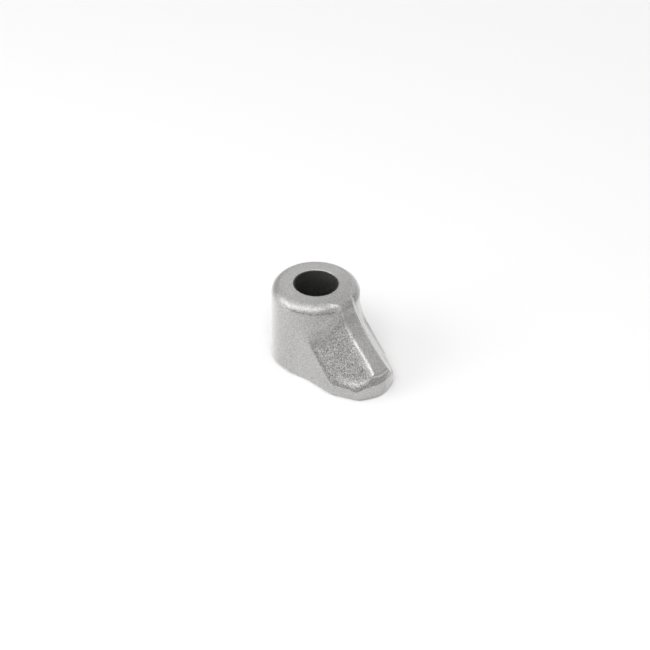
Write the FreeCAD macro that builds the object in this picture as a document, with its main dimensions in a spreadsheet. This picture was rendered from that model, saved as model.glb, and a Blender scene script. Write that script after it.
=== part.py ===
import FreeCAD, Part
import math
import os

import Sketcher

# Bored wear tooth: a forged steel block with an upright bored boss and a short
# toe that slopes down to a blunt nose, and a thin sleeve pressed into the bore.
#
# Frame: origin on the bore's axis in the flat base, +Z along the bore towards
# its mouth, +X along the toe towards the nose. Millimetres.

Vector = FreeCAD.Vector
SHEET = "Dimensions"
AXIS_X = -1
AXIS_Y = -2
FULL_TURN = 360

# Driving dimensions of the boss, the rib's head, the bore and the sleeve.
DIMENSIONS = {
    "boss_radius": 20.0,
    "boss_height": 38.2,
    "crown_radius": 4.8,
    "base_radius": 1.8,
    "rib_reach": 21.7,
    "rib_width": 7.2,
    "bore_radius": 10.2,
    "mouth_chamfer": 0.25,
    "sleeve_wall": 0.7,
    "sleeve_recess": 0.4,
}

# The toe's cross-sections, from inside the boss to the nose: distance along X,
# half width at the base, half width and height of the flank's top edge, half
# width and height of the rib's flat top.
STATION_KEYS = ("place", "foot", "flank", "flank_top", "rib", "rib_top")
STATIONS = (
    (8.0, 17.9, 15.6, 27.4, 8.6, 37.7),
    (21.7, 17.4, 16.2, 14.4, 3.6, 31.8),
    (25.2, 17.2, 16.3, 11.0, 3.6, 28.3),
    (29.4, 17.0, 16.4, 7.0, 3.6, 24.2),
    (33.0, 15.1, 14.7, 4.5, 3.6, 21.4),
    (40.4, 11.1, 10.8, 4.4, 3.9, 15.6),
    (43.3, 5.3, 5.2, 4.4, 4.4, 13.1),
    (44.4, 3.8, 3.9, 4.4, 4.0, 12.1),
)


def fill_sheet(doc):
    """Puts every driving dimension in the document's spreadsheet."""
    sheet = doc.addObject("Spreadsheet::Sheet", SHEET)
    cells = dict(DIMENSIONS)
    for number, station in enumerate(STATIONS):
        for key, value in zip(STATION_KEYS, station):
            cells[f"{key}_at_{number}"] = value
    for row, (alias, value) in enumerate(cells.items(), start=1):
        sheet.set(f"A{row}", alias)
        sheet.set(f"B{row}", str(value))
        sheet.setAlias(f"B{row}", alias)
    doc.recompute()
    return sheet


def cell(sheet, alias):
    return float(sheet.get(alias))


def new_sketch(body, name, role, offset=None):
    """A sketch on one of the body's origin planes, moved along its normal."""
    planes = body.Origin.OriginFeatures
    plane = next(item for item in planes if item.Role == role)
    sketch = body.newObject("Sketcher::SketchObject", name)
    sketch.AttachmentSupport = (plane, "")
    sketch.MapMode = "FlatFace"
    if offset:
        sketch.setExpression("AttachmentOffset.Base.z", offset)
    return sketch


def constrain(sketch, kind, *targets):
    return sketch.addConstraint(Sketcher.Constraint(kind, *targets))


def bind(sketch, expression, kind, *targets):
    """Adds a dimension whose value follows an expression."""
    index = constrain(sketch, kind, *targets)
    sketch.setExpression(f"Constraints[{index}]", expression)


def draw(sketch, edges):
    """Adds edges to the sketch and returns their numbers."""
    return [sketch.addGeometry(edge, False) for edge in edges]


def line(start, end):
    return Part.LineSegment(Vector(*start, 0), Vector(*end, 0))


def arc(centre, radius, start_degrees, end_degrees):
    """A counter-clockwise arc."""
    circle = Part.Circle(Vector(*centre, 0), Vector(0, 0, 1), radius)
    return Part.ArcOfCircle(circle, math.radians(start_degrees), math.radians(end_degrees))


def draw_circle(sketch, radius, expression):
    """A circle about the bore's axis whose radius follows an expression."""
    ring, = draw(sketch, [Part.Circle(Vector(), Vector(0, 0, 1), radius)])
    constrain(sketch, "Coincident", ring, 3, AXIS_X, 1)
    bind(sketch, expression, "Radius", ring, radius)


def toe_section(body, sheet, number):
    """One cross-section of the toe: base, flanks, sloping webs and rib top."""
    values = {key: cell(sheet, f"{key}_at_{number}") for key in STATION_KEYS}
    right = [
        (values["foot"], 0),
        (values["flank"], values["flank_top"]),
        (values["rib"], values["rib_top"]),
    ]
    left = [(-across, height) for across, height in reversed(right)]
    corners = right + left
    sketch = new_sketch(body, f"toe_section_{number}", "YZ_Plane", f"{SHEET}.place_at_{number}")
    edges = draw(sketch, map(line, corners, corners[1:] + corners[:1]))
    for edge, following in zip(edges, edges[1:] + edges[:1]):
        constrain(sketch, "Coincident", edge, 2, following, 1)
    for edge, mirrored in zip(edges[:3], reversed(edges[3:])):
        constrain(sketch, "Symmetric", edge, 1, mirrored, 1, AXIS_Y)
    constrain(sketch, "PointOnObject", edges[0], 1, AXIS_X)
    for edge, key in zip(edges, ("foot", "flank", "rib")):
        bind(sketch, f"{SHEET}.{key}_at_{number}", "DistanceX", AXIS_X, 1, edge, 1, values[key])
    for edge, key in zip(edges[1:], ("flank_top", "rib_top")):
        bind(sketch, f"{SHEET}.{key}_at_{number}", "DistanceY", AXIS_X, 1, edge, 1, values[key])
    return sketch


def build_toe(body, sheet):
    """Lofts the toe through its cross-sections."""
    sections = [toe_section(body, sheet, number) for number in range(len(STATIONS))]
    loft = body.newObject("PartDesign::AdditiveLoft", "toe")
    loft.Profile = sections[0]
    loft.Sections = sections[1:]
    loft.Ruled = True


def upright_profile(body, sheet, name, reach_cell, foot_cell=None):
    """Half outline of an upright with a rounded crown, from the axis out."""
    reach = cell(sheet, reach_cell)
    height = cell(sheet, "boss_height")
    crown = cell(sheet, "crown_radius")
    foot = cell(sheet, foot_cell) if foot_cell else 0
    sketch = new_sketch(body, name, "XZ_Plane")
    outline = [
        line((0, 0), (reach - foot, 0)),
        line((reach, foot), (reach, height - crown)),
        arc((reach - crown, height - crown), crown, 0, 90),
        line((reach - crown, height), (0, height)),
        line((0, height), (0, 0)),
    ]
    base, wall, crown_arc, top, axis = draw(sketch, outline)
    constrain(sketch, "Coincident", base, 1, AXIS_X, 1)
    if foot_cell:
        foot_arc, = draw(sketch, [arc((reach - foot, foot), foot, 270, 360)])
        constrain(sketch, "Tangent", base, 2, foot_arc, 1)
        constrain(sketch, "Tangent", foot_arc, 2, wall, 1)
        bind(sketch, f"{SHEET}.{foot_cell}", "Radius", foot_arc, foot)
    else:
        constrain(sketch, "Coincident", base, 2, wall, 1)
    constrain(sketch, "Tangent", wall, 2, crown_arc, 1)
    constrain(sketch, "Tangent", crown_arc, 2, top, 1)
    constrain(sketch, "Coincident", top, 2, axis, 1)
    constrain(sketch, "Coincident", axis, 2, base, 1)
    for edge in (base, top):
        constrain(sketch, "Horizontal", edge)
    for edge in (wall, axis):
        constrain(sketch, "Vertical", edge)
    bind(sketch, f"{SHEET}.{reach_cell}", "DistanceX", AXIS_X, 1, wall, 1, reach)
    bind(sketch, f"{SHEET}.boss_height", "DistanceY", AXIS_X, 1, top, 2, height)
    bind(sketch, f"{SHEET}.crown_radius", "Radius", crown_arc, crown)
    return sketch


def build_boss(body, sheet):
    """Turns the boss, with its rounded crown and base edge."""
    sketch = upright_profile(body, sheet, "boss_profile", "boss_radius", "base_radius")
    boss = body.newObject("PartDesign::Revolution", "boss")
    boss.Profile = sketch
    boss.ReferenceAxis = (sketch, ["V_Axis"])
    boss.Angle = FULL_TURN


def build_rib_head(body, sheet):
    """The rib's upright head, which stands a little proud of the boss."""
    head = body.newObject("PartDesign::Pad", "rib_head")
    head.Profile = upright_profile(body, sheet, "rib_profile", "rib_reach")
    head.Midplane = True
    head.setExpression("Length", f"{SHEET}.rib_width")


def circle_edge(shape, radius, height):
    """Name of the circular edge of this radius about Z at this height."""
    for number, edge in enumerate(shape.Edges, start=1):
        curve = edge.Curve
        if isinstance(curve, Part.Circle) and abs(curve.Radius - radius) < 1e-6:
            if abs(curve.Center.z - height) < 1e-6:
                return f"Edge{number}"
    raise ValueError("no such edge")


def build_bore(body, sheet):
    """Bores the boss from end to end and chamfers the mouth."""
    radius = cell(sheet, "bore_radius")
    sketch = new_sketch(body, "bore_outline", "XY_Plane")
    draw_circle(sketch, radius, f"{SHEET}.bore_radius")
    bore = body.newObject("PartDesign::Pocket", "bore")
    bore.Profile = sketch
    bore.Type = "ThroughAll"
    bore.Reversed = True
    body.Document.recompute()
    if bore.Shape.Volume >= bore.BaseFeature.Shape.Volume:
        raise RuntimeError("the bore cuts nothing")
    mouth = circle_edge(bore.Shape, radius, cell(sheet, "boss_height"))
    chamfer = body.newObject("PartDesign::Chamfer", "mouth_chamfer")
    chamfer.Base = (bore, [mouth])
    chamfer.setExpression("Size", f"{SHEET}.mouth_chamfer")


def build_tooth(doc, sheet):
    """The forged block: toe, boss, rib and bore."""
    body = doc.addObject("PartDesign::Body", "ToothBody")
    body.Label = "tooth_body"
    body.Placement = FreeCAD.Placement()
    build_toe(body, sheet)
    build_boss(body, sheet)
    build_rib_head(body, sheet)
    build_bore(body, sheet)
    return body


def build_sleeve(doc, sheet):
    """The thin sleeve pressed into the bore, a little short of both ends."""
    outer = cell(sheet, "bore_radius")
    inner = outer - cell(sheet, "sleeve_wall")
    body = doc.addObject("PartDesign::Body", "BoreSleeve")
    body.Label = "bore_sleeve"
    body.Placement = FreeCAD.Placement()
    body.setExpression("Placement.Base.z", f"{SHEET}.sleeve_recess")
    sketch = new_sketch(body, "sleeve_outline", "XY_Plane")
    draw_circle(sketch, outer, f"{SHEET}.bore_radius")
    draw_circle(sketch, inner, f"{SHEET}.bore_radius - {SHEET}.sleeve_wall")
    sleeve = body.newObject("PartDesign::Pad", "sleeve")
    sleeve.Profile = sketch
    sleeve.setExpression("Length", f"{SHEET}.boss_height - 2 * {SHEET}.sleeve_recess")
    return body


def check(doc, parts):
    """Stops if any feature failed or any sub-part isn't one sound solid."""
    for item in doc.Objects:
        if {"Invalid", "Error"} & set(item.State):
            raise RuntimeError(f"{item.Name} failed: {item.State}")
    for part in parts:
        if part.Shape.isNull() or not part.Shape.isValid() or len(part.Shape.Solids) != 1:
            raise RuntimeError(f"{part.Label} is not one sound solid")


def main():
    os.makedirs("parts", exist_ok=True)
    doc = FreeCAD.newDocument("BoredTooth")
    sheet = fill_sheet(doc)
    parts = [build_tooth(doc, sheet), build_sleeve(doc, sheet)]
    doc.recompute()
    check(doc, parts)
    for part in parts:
        part.Shape.exportStep(os.path.join("parts", f"{part.Label}.step"))
        print(f"{part.Label}: {part.Shape.Volume:.0f} mm3")


main()
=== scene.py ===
import math

import bmesh
import bpy
import numpy as np
from mathutils import Matrix, Vector


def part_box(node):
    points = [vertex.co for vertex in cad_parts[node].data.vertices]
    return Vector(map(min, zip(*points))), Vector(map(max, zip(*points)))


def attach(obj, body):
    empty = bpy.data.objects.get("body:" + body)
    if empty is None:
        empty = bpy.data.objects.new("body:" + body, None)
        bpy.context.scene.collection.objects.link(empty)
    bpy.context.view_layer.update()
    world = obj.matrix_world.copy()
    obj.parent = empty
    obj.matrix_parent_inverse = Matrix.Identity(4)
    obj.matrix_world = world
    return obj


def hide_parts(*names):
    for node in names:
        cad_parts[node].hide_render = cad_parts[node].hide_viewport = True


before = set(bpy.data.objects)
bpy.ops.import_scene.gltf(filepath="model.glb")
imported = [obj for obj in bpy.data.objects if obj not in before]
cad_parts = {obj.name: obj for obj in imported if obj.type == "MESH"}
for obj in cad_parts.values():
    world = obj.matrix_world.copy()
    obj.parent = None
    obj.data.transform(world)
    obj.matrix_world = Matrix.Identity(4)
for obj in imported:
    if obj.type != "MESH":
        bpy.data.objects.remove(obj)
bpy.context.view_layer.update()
body_low, body_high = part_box("tooth_body")
sleeve_low, sleeve_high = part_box("bore_sleeve")

# The frame is in metres. Shapes are worked out in millimetres and scaled when
# a mesh is made.
MM = 0.001
BODY = "root"

# Sizes that the frame gives.
BOSS_RADIUS = body_high.y / MM
BOSS_HEIGHT = body_high.z / MM
NOSE_REACH = body_high.x / MM
BORE_RADIUS = sleeve_high.x / MM
SLEEVE_LOW = sleeve_low.z / MM
SLEEVE_HIGH = sleeve_high.z / MM

# A pair named ..._FADE gives the value at which something is absent, then the
# value from which it is full.

# Edges of the forging. A run of pairs gives a radius at each place along X.
CROWN_RADIUS = 4.8
BASE_RADIUS = 1.8
MOUTH_CHAMFER = 0.25
CREST_RADIUS = 0.9
CORNER_RADIUS = 0.8
NOSE_FACE_RADIUS = 0.6
LIP_CORNER_RADIUS = 7.0
WEB_FILLET = 3.5
LEDGE_FILLET = 5.0
FLANK_EDGE_RADII = ((24, 1.2), (30, 1.1), (40, 1.1), (43, 0.5))
BASE_EDGE_RADII = ((38, BASE_RADIUS), (43, 0.9))

# The toe. The rib's flat top runs through these points, along X and Z.
TOE_START = 6.0
NOSE_SETBACK = 0.1
RIB_TOP = ((21.7, 31.8), (25.2, 28.3), (29.4, 24.2), (34.6, 20.2), (40.4, 15.6), (44.4, 12.1))
RIB_HALF_WIDTHS = ((21.7, 3.6), (36.0, 3.6), (40.4, 3.9), (44.4, 4.4))
RIB_STEEPNESS = 1.4
SOFTENING = 0.8
SOFTENING_SAMPLES = 7

# The rib's upright head.
HEAD_REACH = 21.7
HEAD_HALF_WIDTH = 3.6
HEAD_LEAN = 0.2
HEAD_CROWN_RADIUS = 4.5
HEAD_SIDE_RADIUS = 0.8
HEAD_FILLET = 3.0

# Each side web runs from the rib's edge down to the flank's top edge, which
# falls along X, and is a little hollow beside the boss.
FLANK_TOP = 35.05
FLANK_FALL = 0.954
FLANK_HALF_WIDTH = 16.7
WEB_STEEPNESS = 1.95
WEB_SAG = 1.6
SAG_CENTRE = 12.0
SAG_WIDTH = 4.0
SAG_FADE = (34, 20)

# Plan outline: flank, bevel and nose, with the draft of the upright faces, and
# the lip that slopes up and inwards from it.
FLANK_START = (10.0, 17.9)
OUTLINE = ((29.4, 17.0), (40.4, 11.1), (43.3, 5.2))
DRAFT = 0.05
DRAFT_FADE = (42, 36)
LIP_HEIGHT = 4.2
LIP_SLOPE = 0.5
LIP_TOPS = ((38, LIP_HEIGHT), (43.3, 6.8))

# How rough and dark the forged skin is, from 0 to 1, and where. The same value
# carries painted shade: a painted contact shadow along the base and a painted
# dark band under the crown's highlight. FRONT, UNDER_CROWN and NOSE fade along
# X, SLOPING and CROWN_LEVEL with how far the surface faces up, and the rest
# with the distance past the boss, rib or lip, or below the rib.
SKIN_FRONT = 0.28
SKIN_FRONT_RISE = 0.35
SKIN_RIB = 0.45
SKIN_CROWN = 0.4
# Strength of the painted contact shadow along the base.
FOOT_SHADOW = 0.9
FRONT_FADE = (-2, 17)
UNDER_CROWN_FADE = (-2, 6)
NOSE_FADE = (38, 39.5)
OFF_BOSS_FADE = (0, 1)
WEB_FADE = (0, 2.5)
OFF_RIB_FADE = (0, 0.5)
OVER_LIP_FADE = (0, 0.5)
UNDER_RIB_FADE = (0.8, 1.3)
SLOPING_FADE = (0, 0.25)
CROWN_LEVEL_FADE = (1.2, 0.2)

# Bands, each with the height of its middle and its reach: FOOT is a painted
# contact shadow along the base, UNDER_CROWN painted shade just under the crown's
# highlight, and CROWN rough skin on the crown.
FOOT_SHADOW_BAND = (0, 0.9)
# Painted shade: a dark band just under the crown's highlight.
UNDER_CROWN_SHADE_BAND = (BOSS_HEIGHT - CROWN_RADIUS + 1.4, 1.8)
CROWN_BAND = (BOSS_HEIGHT - 2, 4)

# Painted highlight on each web, from 0 to 1, along its crest and above the lip.
# INNER and OUTER fade with the distance past the rib, the slope fade with how far
# the surface faces up, and the rest along X. The band is above the lip's top.
CREST_HIGHLIGHT = 0.4
FOOT_HIGHLIGHT = 0.42
CREST_INNER_FADE = (-0.6, 0.4)
CREST_OUTER_FADE = (2.8, 0)
CREST_START_FADE = (22, 40)
CREST_END_FADE = (44, 42)
FOOT_HIGHLIGHT_FADE = (31, 35)
FOOT_HIGHLIGHT_BAND = (3.8, 2.0)
HIGHLIGHT_SLOPE_FADE = (0, 1 / 3)

# Grain of the skin, in the mesh: size, seed and depth. The inset keeps the
# grain inside the CAD's box, and the bore has none.
GRAINS = ((2.4, 3, 0.04), (0.8, 7, 0.06))
GRAIN_INSET = 0.08
BORE_MARGIN = 0.05

# Whole numbers that scramble a grid cell's place into its noise value.
CELL_FACTORS = (73856093, 19349663, 83492791)
SEED_FACTOR = 2654435761
MIX_STEPS = ((13, 1274126177), (16, 2246822519))
LOW_BITS = 0x7FFFFFFF

# Sampling of the tooth's shape. Margins are in steps of the grid.
PITCH = 0.3
MARGIN_BELOW = 1.5
MARGIN_ABOVE = 2
PROJECTION_STEPS = 3
SLOPE_STEP = 0.02
SMALLEST_SLOPE_SQUARED = 0.25
STEPS = np.eye(3, dtype=int)
CORNERS = tuple(np.ndindex(2, 2, 2))

# The sleeve.
SLEEVE_WALL = 0.7
SLEEVE_BEVEL = 0.2
SLEEVE_SIDES = 96

# Materials. A ramp is a run of places on its source, each with its colour or
# grey. Scales are in grains for each metre and depths are in metres.
STEEL_SHADER = {"Metallic": 0.85, "Sheen Weight": 0.25, "Sheen Roughness": 0.4}
STEEL_GRAIN_SCALE = 1700
STEEL_GRAIN_DETAIL = 3
STEEL_PATCH_SCALE = 90
STEEL_PATCH_DETAIL = 4
STEEL_BUMP_DEPTH = 0.00015
STEEL_BUMP_STRENGTH = ((0.0, 0.1), (0.5, 0.8), (1.0, 1.0))
SMOOTH_COLOURS = ((0.3, (0.465, 0.461, 0.452)), (0.7, (0.67, 0.666, 0.655)))
# Darker colour of the rough skin, also used for the painted shade.
ROUGH_AND_SHADE_COLOURS = ((0.32, (0.13, 0.128, 0.124)), (0.68, (0.47, 0.465, 0.455)))
# Colours of the painted highlight.
PAINTED_HIGHLIGHT_COLOURS = ((0.32, (0.48, 0.472, 0.46)), (0.62, (0.98, 0.965, 0.945)))
# A painted sheen: these pale colours are mixed in at grazing angles, by the shares on the next
# line.
PAINTED_SHEEN_COLOURS = ((0.32, (0.80, 0.795, 0.785)), (0.68, (0.96, 0.955, 0.945)))
PAINTED_SHEEN_SHARES = ((0.55, 0.0), (0.95, 0.85))
SMOOTH_ROUGHNESS = ((0.3, 0.34), (0.7, 0.42))
ROUGH_ROUGHNESS = ((0.3, 0.5), (0.7, 0.6))
NOISE_ROUGHNESS = 0.6

LINER_SHADER = {"Metallic": 0.3}
LINER_GRAIN_SCALE = 900
LINER_GRAIN_DETAIL = 3
LINER_BUMP_DEPTH = 0.00006
LINER_BUMP_STRENGTH = 0.5
LINER_COLOURS = ((0.3, (0.017, 0.017, 0.015)), (0.7, (0.032, 0.032, 0.028)))
LINER_ROUGHNESS = ((0.3, 0.5), (0.7, 0.7))

FLOOR_SHADER = {"Base Color": (0.86, 0.86, 0.86, 1), "Roughness": 0.9, "Specular IOR Level": 0.0}
FLOOR_HALF = 1.6

# The camera looks down at the nose and the toe's -Y side. Distances are in
# metres, and the aim's offsets are in the camera's own plane.
CAMERA_AZIMUTH = 47.0
CAMERA_ELEVATION = 36.4
CAMERA_DISTANCE = 1.04
CAMERA_ROLL = 1.0
CAMERA_LENS = 126.0
CAMERA_NEAR = 0.05
AIM_RIGHT = 0.0044
AIM_UP = 0.0119

# The lights: name, degrees round from the camera, degrees up, width and height
# in metres, and power in watts.
LIGHT_DISTANCE = 1.1
LIGHTS = (
    ("key", -12, 54, (0.7, 0.42), 4.6),
    ("back_fill", 165, 36, (1.2, 0.7), 0.7),
    ("top_fill", 60, 78, (1.0, 0.8), 1.1),
    ("rim", 142, 14, (0.9, 0.5), 1.2),
    ("left_fill", -75, 28, (1.0, 0.7), 5),
)

# Greys of the studio, from the horizon to overhead.
SKY = ((0.0, 0.36), (0.45, 0.44), (0.62, 0.9), (1.0, 1.0))
SKY_STRENGTH = 0.82


def fade(value, absent, full):
    """0 where value is absent, 1 where it is full, and straight between."""
    return np.clip((value - absent) / (full - absent), 0, 1)


def band(height, middle, reach):
    """1 at the band's middle height, and 0 from its reach outwards."""
    return np.clip(1 - np.abs(height - middle) / reach, 0, 1)


def straight_line(x, points):
    """Value at x on a run of straight lines."""
    places, values = zip(*points)
    return np.interp(x, places, values)


def soft_line(x, points):
    """Value at x on a run of straight lines, with its corners rounded."""
    shifts = np.linspace(-SOFTENING, SOFTENING, SOFTENING_SAMPLES)
    return sum(straight_line(x + shift, points) for shift in shifts) / len(shifts)


def round_meet(a, b, radius):
    """Where two solids overlap, with the convex edge between them rounded."""
    inner = np.minimum(np.maximum(a, b), -radius)
    return inner + np.hypot(np.maximum(a + radius, 0), np.maximum(b + radius, 0))


def round_join(a, b, radius):
    """Two solids joined, with a fillet in the corner between them."""
    outer = np.maximum(np.minimum(a, b), radius)
    return outer - np.hypot(np.maximum(radius - a, 0), np.maximum(radius - b, 0))


def beyond_edge(along, across, start, end):
    """Distance outside the straight plan edge from start to end."""
    run, rise = end[0] - start[0], end[1] - start[1]
    length = math.hypot(run, rise)
    return ((along - start[0]) * -rise + (across - start[1]) * run) / length


def toe_outline(x, across, corner_radius):
    """Distance outside the toe's plan outline."""
    corners = (FLANK_START, *OUTLINE, (NOSE_REACH, 0.0))
    sides = [beyond_edge(x, across, *pair) for pair in zip(corners, corners[1:])]
    outline = sides[0]
    for side in sides[1:]:
        outline = round_meet(outline, side, corner_radius)
    return outline


def boss_field(radius, z):
    """The upright boss, with its rounded crown and base edge."""
    wall = radius - BOSS_RADIUS
    crown = round_meet(wall, z - BOSS_HEIGHT, CROWN_RADIUS)
    return round_meet(crown, -z, BASE_RADIUS)


def rib_half_width(x):
    return soft_line(x, RIB_HALF_WIDTHS)


def rib_height(x):
    """Height of the rib's flat top, carried on upwards inside the boss."""
    (start, height), (following, lower) = RIB_TOP[:2]
    above = (start - x) * (height - lower) / (following - start)
    return soft_line(x, RIB_TOP) + np.maximum(above, 0)


def web_field(x, across, z):
    """A side web, ruled between the rib's edge and the flank's top edge."""
    edge, crest = rib_half_width(x), rib_height(x)
    slant = (crest - FLANK_TOP + FLANK_FALL * x) / (FLANK_HALF_WIDTH - edge)
    hollow = WEB_SAG * np.exp(-(((across - SAG_CENTRE) / SAG_WIDTH) ** 2)) * fade(x, *SAG_FADE)
    height = crest - slant * (across - edge) - hollow
    return (z - height) / WEB_STEEPNESS


def toe_field(x, across, z):
    """The toe: webs, rib top and lip, inside the plan outline."""
    draft = DRAFT * z * fade(x, *DRAFT_FADE)
    outline = toe_outline(x, across, CORNER_RADIUS) + draft
    lip_slope = LIP_SLOPE * toe_outline(x, across, LIP_CORNER_RADIUS)
    lip = (z - LIP_HEIGHT + lip_slope) / math.hypot(1, LIP_SLOPE)
    webs = round_join(web_field(x, across, z), lip, LEDGE_FILLET)
    block = round_meet(webs, outline, straight_line(x, FLANK_EDGE_RADII))
    top = (z - rib_height(x)) / RIB_STEEPNESS
    toe = round_meet(block, top, CREST_RADIUS)
    toe = round_meet(toe, x - NOSE_REACH + NOSE_SETBACK, NOSE_FACE_RADIUS)
    toe = round_meet(toe, -z, straight_line(x, BASE_EDGE_RADII))
    return np.maximum(toe, TOE_START - x)


def head_field(x, across, z):
    """The rib's upright head, proud of the boss and level with its crown."""
    leaning = x - HEAD_REACH + HEAD_LEAN * (z - RIB_TOP[0][1])
    face = round_meet(leaning, z - BOSS_HEIGHT, HEAD_CROWN_RADIUS)
    return np.maximum(round_meet(face, across - HEAD_HALF_WIDTH, HEAD_SIDE_RADIUS), -x)


def tooth_field(x, y, z):
    """About the distance to the tooth's surface, negative in the steel."""
    across = np.abs(y)
    radius = np.hypot(x, y)
    toe = round_join(toe_field(x, across, z), head_field(x, across, z), HEAD_FILLET)
    steel = round_join(boss_field(radius, z), toe, WEB_FILLET)
    steel = np.maximum(steel, np.maximum(-z, z - BOSS_HEIGHT))
    steel = np.maximum(steel, BORE_RADIUS - radius)
    mouth = z - BOSS_HEIGHT - radius + BORE_RADIUS + MOUTH_CHAMFER
    return np.maximum(steel, mouth * math.sqrt(0.5))


def grid_axes():
    """Sample places along each axis, from just outside the body's box."""
    below, above = MARGIN_BELOW * PITCH, MARGIN_ABOVE * PITCH
    spans = zip(body_low, body_high)
    return [np.arange(low / MM - below, high / MM + above, PITCH) for low, high in spans]


def surface_points(values, cells):
    """Where the zero surface crosses each cell, on average, in grid steps."""
    total = np.zeros((len(cells), 3))
    crossings = np.zeros(len(cells))
    for axis, step in enumerate(STEPS):
        for corner in CORNERS:
            if corner[axis]:
                continue
            first = cells + corner
            a, b = values[tuple(first.T)], values[tuple((first + step).T)]
            crossed = (a < 0) != (b < 0)
            share = np.where(crossed, a / np.where(crossed, a - b, 1), 0)
            total += np.where(crossed[:, None], first + share[:, None] * step, 0)
            crossings += crossed
    return total / crossings[:, None]


def surface_quads(inside, index):
    """A quad across each grid edge that crosses the surface, facing outwards."""
    quads = []
    for axis, step in enumerate(STEPS):
        u, v = STEPS[(axis + 1) % 3], STEPS[(axis + 2) % 3]
        low = inside[tuple(slice(0, size - move) for size, move in zip(inside.shape, step))]
        high = inside[tuple(slice(move, size) for size, move in zip(inside.shape, step))]
        for leaving in (True, False):
            edges = np.argwhere((low & ~high) if leaving else (~low & high))
            around = [edges - u - v, edges - v, edges, edges - u]
            quad = np.stack([index[tuple(cell.T)] for cell in around], axis=1)
            quads.append(quad if leaving else quad[:, ::-1])
    return np.concatenate(quads)


def surface_net(values, axes):
    """Vertices near the zero surface of a sampled field, and its quads."""
    inside = values < 0
    shape = np.array(values.shape) - 1
    counts = np.zeros(shape, np.int8)
    for i, j, k in CORNERS:
        counts += inside[i:shape[0] + i, j:shape[1] + j, k:shape[2] + k]
    cells = np.argwhere((counts > 0) & (counts < len(CORNERS)))
    index = np.full(shape, -1, np.int64)
    index[tuple(cells.T)] = np.arange(len(cells))
    origin = np.array([axis[0] for axis in axes])
    points = origin + surface_points(values, cells) * PITCH
    return points, surface_quads(inside, index)


def gradient(points):
    """Slope of the tooth's field at each point."""
    slope = np.empty_like(points)
    for axis in range(3):
        shift = STEPS[axis] * SLOPE_STEP
        rise = tooth_field(*(points + shift).T) - tooth_field(*(points - shift).T)
        slope[:, axis] = rise / (2 * SLOPE_STEP)
    return slope


def value_noise(points, size, seed):
    """Smooth noise from -1 to 1 whose grains are about this size."""
    scaled = points / size
    cell = np.floor(scaled).astype(np.int64)
    share = scaled - cell
    share = share * share * (3 - 2 * share)
    total = np.zeros(len(points))
    for corner in CORNERS:
        mixed = seed * SEED_FACTOR
        for place, factor in zip((cell + corner).T, CELL_FACTORS):
            mixed = mixed ^ place * factor
        for shift, factor in MIX_STEPS:
            mixed = (mixed ^ (mixed >> shift)) * factor & LOW_BITS
        weight = np.prod(np.where(corner, share, 1 - share), axis=1)
        total += weight * (mixed / (LOW_BITS // 2) - 1)
    return total


def tooth_mesh():
    """Points on the tooth's surface, its quads and its outward normals."""
    axes = grid_axes()
    values = tooth_field(*np.meshgrid(*axes, indexing="ij"))
    points, quads = surface_net(values, axes)
    for _ in range(PROJECTION_STEPS):
        slope = gradient(points)
        steepness = np.maximum((slope ** 2).sum(1), SMALLEST_SLOPE_SQUARED)
        reach = tooth_field(*points.T) / steepness
        points -= np.clip(reach, -PITCH, PITCH)[:, None] * slope
    normals = gradient(points)
    normals /= np.linalg.norm(normals, axis=1)[:, None]
    return points, quads, normals


def lip_top(x):
    """Height at which the smooth lip ends, which rises towards the nose."""
    return straight_line(x, LIP_TOPS)


def skin_and_shade_of(points, normals):
    """Roughness and darkness of the forged finish, 1 on webs and nose and low on the flanks, with
    painted shade added: a contact shadow along the base and a dark band under the crown's
    highlight.
    """
    x, across, z = points[:, 0], np.abs(points[:, 1]), points[:, 2]
    past_boss = np.hypot(x, across) - BOSS_RADIUS
    off_boss = fade(past_boss, *OFF_BOSS_FADE)
    off_rib = fade(across - rib_half_width(x), *OFF_RIB_FADE)
    sloping = fade(normals[:, 2], *SLOPING_FADE)
    web = fade(past_boss, *WEB_FADE) * sloping * off_rib
    rib = off_boss * sloping * (1 - off_rib) * SKIN_RIB
    over_lip = fade(z - lip_top(x), *OVER_LIP_FADE)
    nose = fade(x, *NOSE_FADE) * over_lip * fade(rib_height(x) - z, *UNDER_RIB_FADE)
    # Painted contact shadow: a darker band along the base.
    foot = band(z, *FOOT_SHADOW_BAND) * FOOT_SHADOW
    boss_or_web = np.maximum(1 - off_boss, sloping * off_rib)
    front = SKIN_FRONT + SKIN_FRONT_RISE * fade(x, *FRONT_FADE) * boss_or_web
    # Painted shade: a dark band just under the crown's highlight.
    shade_under_crown = band(z, *UNDER_CROWN_SHADE_BAND) * (1 - off_boss) * fade(x, *UNDER_CROWN_FADE)
    rounded = fade(normals[:, 2], *CROWN_LEVEL_FADE)
    crown = band(z, *CROWN_BAND) * (1 - off_boss) * rounded * SKIN_CROWN
    return np.clip(np.maximum.reduce([web, rib, nose, foot, crown, shade_under_crown, front]), 0, 1)


def painted_highlight_of(points, normals):
    """Painted highlight on each web, along its crest and above the lip."""
    x, across, z = points[:, 0], np.abs(points[:, 1]), points[:, 2]
    past_rib = across - rib_half_width(x)
    # Painted highlight along the rib's crest.
    crest = fade(past_rib, *CREST_INNER_FADE) * fade(past_rib, *CREST_OUTER_FADE)
    crest *= fade(x, *CREST_START_FADE) * fade(x, *CREST_END_FADE) * CREST_HIGHLIGHT
    # Painted highlight on the web just above the lip.
    foot = band(z - lip_top(x), *FOOT_HIGHLIGHT_BAND) * fade(x, *FOOT_HIGHLIGHT_FADE) * FOOT_HIGHLIGHT
    return np.maximum(crest, foot) * fade(normals[:, 2], *HIGHLIGHT_SLOPE_FADE)


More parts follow.
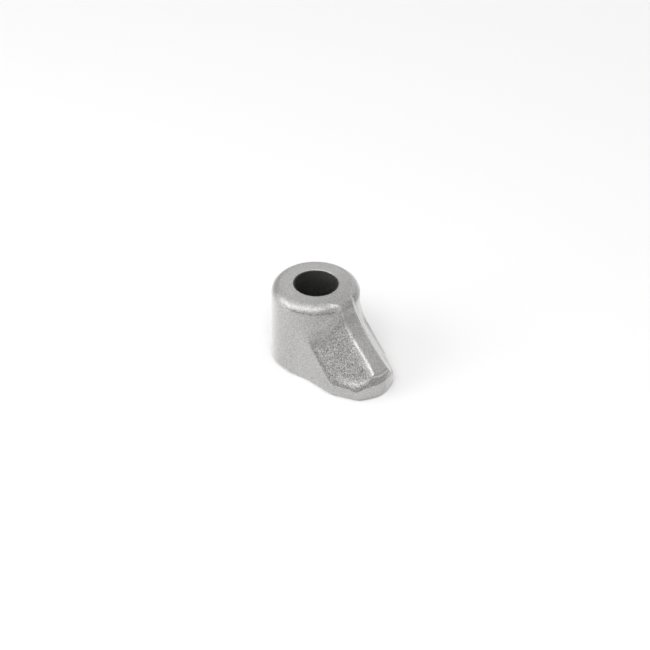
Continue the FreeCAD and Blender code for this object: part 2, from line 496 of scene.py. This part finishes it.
def roughened(points, normals, skin_and_shade):
    """Moves the points by the grain that forging and blasting leave."""
    grain = sum(value_noise(points, size, seed) * depth for size, seed, depth in GRAINS)
    bored = np.hypot(points[:, 0], points[:, 1]) < BORE_RADIUS + BORE_MARGIN
    moved = (grain * skin_and_shade - GRAIN_INSET) * ~bored
    return points + moved[:, None] * normals


def new_object(name, points, faces):
    """A smooth-shaded mesh object, from points in millimetres."""
    mesh = bpy.data.meshes.new(name)
    mesh.from_pydata((np.asarray(points) * MM).tolist(), [], np.asarray(faces).tolist())
    mesh.validate()
    mesh.update()
    for polygon in mesh.polygons:
        polygon.use_smooth = True
    made = bpy.data.objects.new(name, mesh)
    bpy.context.scene.collection.objects.link(made)
    return made


def build_tooth():
    """The forged block, with its finish and painted shade, and its painted highlight, stored on
    the mesh.
    """
    points, quads, normals = tooth_mesh()
    skin_and_shade = skin_and_shade_of(points, normals)
    tooth = new_object("forged_tooth", roughened(points, normals, skin_and_shade), quads)
    for name, values in (("skin_and_shade", skin_and_shade), ("painted_highlight", painted_highlight_of(points, normals))):
        attribute = tooth.data.attributes.new(name, "FLOAT", "POINT")
        attribute.data.foreach_set("value", values.astype(np.float32))
    return tooth


def build_sleeve():
    """The sleeve, turned, with small bevels at both ends."""
    outer, inner = BORE_RADIUS, BORE_RADIUS - SLEEVE_WALL
    bevel = SLEEVE_BEVEL
    profile = [
        (inner, SLEEVE_LOW + bevel), (inner + bevel, SLEEVE_LOW), (outer - bevel, SLEEVE_LOW),
        (outer, SLEEVE_LOW + bevel), (outer, SLEEVE_HIGH - bevel), (outer - bevel, SLEEVE_HIGH),
        (inner + bevel, SLEEVE_HIGH), (inner, SLEEVE_HIGH - bevel),
    ]
    angles = np.arange(SLEEVE_SIDES) * 2 * math.pi / SLEEVE_SIDES
    points = [(r * math.cos(a), r * math.sin(a), z) for a in angles for r, z in profile]
    count = len(profile)
    faces = []
    for side in range(SLEEVE_SIDES):
        for ring in range(count):
            here, after = side * count + ring, side * count + (ring + 1) % count
            there = (side + 1) % SLEEVE_SIDES * count
            faces.append((here, after, there + (ring + 1) % count, there + ring))
    sleeve = new_object("bore_liner", points, faces)
    bm = bmesh.new()
    bm.from_mesh(sleeve.data)
    bmesh.ops.recalc_face_normals(bm, faces=bm.faces)
    bm.to_mesh(sleeve.data)
    bm.free()
    return sleeve


def new_material(name, settings):
    """A material whose shader has these settings, its nodes, links and shader."""
    material = bpy.data.materials.new(name)
    material.use_nodes = True
    tree = material.node_tree
    shader = tree.nodes["Principled BSDF"]
    for setting, value in settings.items():
        shader.inputs[setting].default_value = value
    return material, tree.nodes, tree.links, shader


def add_noise(nodes, links, scale, detail):
    """Noise in the object's own coordinates."""
    place = nodes.new("ShaderNodeTexCoord")
    noise = nodes.new("ShaderNodeTexNoise")
    noise.inputs["Scale"].default_value = scale
    noise.inputs["Detail"].default_value = detail
    noise.inputs["Roughness"].default_value = NOISE_ROUGHNESS
    links.new(place.outputs["Object"], noise.inputs["Vector"])
    return noise.outputs["Fac"]


def add_ramp(nodes, links, source, stops):
    """A colour ramp through these places and colours."""
    ramp = nodes.new("ShaderNodeValToRGB")
    links.new(source, ramp.inputs["Fac"])
    elements = ramp.color_ramp.elements
    for element, (position, colour) in zip(elements, (stops[0], stops[-1])):
        element.position = position
        element.color = (*colour, 1)
    for position, colour in stops[1:-1]:
        elements.new(position).color = (*colour, 1)
    return ramp.outputs["Color"]


def add_grey_ramp(nodes, links, source, stops):
    """A ramp through these places and greys."""
    return add_ramp(nodes, links, source, [(place, (grey,) * 3) for place, grey in stops])


def add_bump(nodes, links, height, distance, shader):
    """Bumps the shader's surface and returns the bump's strength input."""
    bump = nodes.new("ShaderNodeBump")
    bump.inputs["Distance"].default_value = distance
    links.new(height, bump.inputs["Height"])
    links.new(bump.outputs["Normal"], shader.inputs["Normal"])
    return bump.inputs["Strength"]


def add_attribute(nodes, name):
    """The values that the mesh stores under this name."""
    attribute = nodes.new("ShaderNodeAttribute")
    attribute.attribute_name = name
    return attribute.outputs["Fac"]


def mix(nodes, links, share, first, second):
    blend = nodes.new("ShaderNodeMix")
    blend.data_type = "RGBA"
    links.new(share, blend.inputs["Factor"])
    links.new(first, blend.inputs["A"])
    links.new(second, blend.inputs["B"])
    return blend.outputs["Result"]


def blasted_steel():
    """Blasted steel: smoother or rougher and darker, with painted shade, a painted highlight on
    the webs and a painted sheen at grazing angles.
    """
    material, nodes, links, shader = new_material("blasted_steel", STEEL_SHADER)
    skin_and_shade = add_attribute(nodes, "skin_and_shade")
    grain = add_noise(nodes, links, STEEL_GRAIN_SCALE, STEEL_GRAIN_DETAIL)
    patches = add_noise(nodes, links, STEEL_PATCH_SCALE, STEEL_PATCH_DETAIL)
    smooth = add_ramp(nodes, links, grain, SMOOTH_COLOURS)
    # Darker colour for the rough skin and for the painted shade.
    rough_and_shade = add_ramp(nodes, links, grain, ROUGH_AND_SHADE_COLOURS)
    painted_highlight_colour = add_ramp(nodes, links, grain, PAINTED_HIGHLIGHT_COLOURS)
    pale = add_ramp(nodes, links, grain, PAINTED_SHEEN_COLOURS)
    skin_and_shade_colour = mix(nodes, links, skin_and_shade, smooth, rough_and_shade)
    # Painted highlight, mixed in where the mesh stores it.
    colour = mix(nodes, links, add_attribute(nodes, "painted_highlight"), skin_and_shade_colour, painted_highlight_colour)
    # Painted sheen: pale colour mixed in where the surface is seen at a grazing angle.
    facing = nodes.new("ShaderNodeLayerWeight").outputs["Facing"]
    grazing = add_grey_ramp(nodes, links, facing, PAINTED_SHEEN_SHARES)
    links.new(mix(nodes, links, grazing, colour, pale), shader.inputs["Base Color"])
    even = add_grey_ramp(nodes, links, patches, SMOOTH_ROUGHNESS)
    coarse = add_grey_ramp(nodes, links, patches, ROUGH_ROUGHNESS)
    links.new(mix(nodes, links, skin_and_shade, even, coarse), shader.inputs["Roughness"])
    strength = add_bump(nodes, links, grain, STEEL_BUMP_DEPTH, shader)
    links.new(add_grey_ramp(nodes, links, skin_and_shade, STEEL_BUMP_STRENGTH), strength)
    return material


def dark_steel():
    """The sleeve's dull, near-black steel, with a fine grain."""
    material, nodes, links, shader = new_material("dark_steel", LINER_SHADER)
    grain = add_noise(nodes, links, LINER_GRAIN_SCALE, LINER_GRAIN_DETAIL)
    colour = add_ramp(nodes, links, grain, LINER_COLOURS)
    links.new(colour, shader.inputs["Base Color"])
    roughness = add_grey_ramp(nodes, links, grain, LINER_ROUGHNESS)
    links.new(roughness, shader.inputs["Roughness"])
    strength = add_bump(nodes, links, grain, LINER_BUMP_DEPTH, shader)
    strength.default_value = LINER_BUMP_STRENGTH
    return material


def build_floor():
    """The pale floor, which isn't part of the object."""
    mesh = bpy.data.meshes.new("floor")
    half = FLOOR_HALF
    corners = [(-half, -half, 0), (half, -half, 0), (half, half, 0), (-half, half, 0)]
    mesh.from_pydata(corners, [], [(0, 1, 2, 3)])
    floor = bpy.data.objects.new("floor", mesh)
    floor.location.z = body_low.z
    bpy.context.scene.collection.objects.link(floor)
    floor.data.materials.append(new_material("floor_paper", FLOOR_SHADER)[0])


def direction(azimuth, elevation):
    """From the object towards a place: azimuth 0 is -Y and 90 is +X."""
    a, e = math.radians(azimuth), math.radians(elevation)
    return Vector((math.sin(a) * math.cos(e), -math.cos(a) * math.cos(e), math.sin(e)))


def build_camera():
    back = direction(CAMERA_AZIMUTH, CAMERA_ELEVATION)
    turn = back.to_track_quat("Z", "Y").to_matrix()
    right, up = turn.col[0], turn.col[1]
    aim = right * AIM_RIGHT + up * AIM_UP
    camera = bpy.data.objects.new("camera", bpy.data.cameras.new("camera"))
    camera.data.lens = CAMERA_LENS
    camera.data.clip_start = CAMERA_NEAR
    roll = Matrix.Rotation(math.radians(CAMERA_ROLL), 3, "Z")
    camera.matrix_world = Matrix.Translation(aim + back * CAMERA_DISTANCE) @ (turn @ roll).to_4x4()
    bpy.context.scene.collection.objects.link(camera)
    bpy.context.scene.camera = camera


def add_light(name, azimuth, elevation, size, power):
    """A rectangular light that faces the object."""
    data = bpy.data.lights.new(name, "AREA")
    data.shape = "RECTANGLE"
    data.size, data.size_y = size
    data.energy = power
    light = bpy.data.objects.new(name, data)
    away = direction(azimuth, elevation)
    light.location = away * LIGHT_DISTANCE
    light.rotation_mode = "QUATERNION"
    light.rotation_quaternion = away.to_track_quat("Z", "Y")
    bpy.context.scene.collection.objects.link(light)


def build_world():
    """A pale studio, bright overhead and darkest at the horizon and below."""
    world = bpy.data.worlds.new("studio")
    bpy.context.scene.world = world
    world.use_nodes = True
    nodes, links = world.node_tree.nodes, world.node_tree.links
    place = nodes.new("ShaderNodeTexCoord")
    split = nodes.new("ShaderNodeSeparateXYZ")
    links.new(place.outputs["Generated"], split.inputs["Vector"])
    sky = add_grey_ramp(nodes, links, split.outputs["Z"], SKY)
    links.new(sky, nodes["Background"].inputs["Color"])
    nodes["Background"].inputs["Strength"].default_value = SKY_STRENGTH


def build_light():
    build_world()
    for name, round_from_camera, elevation, size, power in LIGHTS:
        add_light(name, CAMERA_AZIMUTH + round_from_camera, elevation, size, power)
    bpy.context.scene.view_settings.view_transform = "Standard"


def main():
    build_camera()
    tooth = build_tooth()
    tooth.data.materials.append(blasted_steel())
    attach(tooth, BODY)
    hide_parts("tooth_body")
    sleeve = build_sleeve()
    sleeve.data.materials.append(dark_steel())
    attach(sleeve, BODY)
    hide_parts("bore_sleeve")
    build_floor()
    build_light()


main()
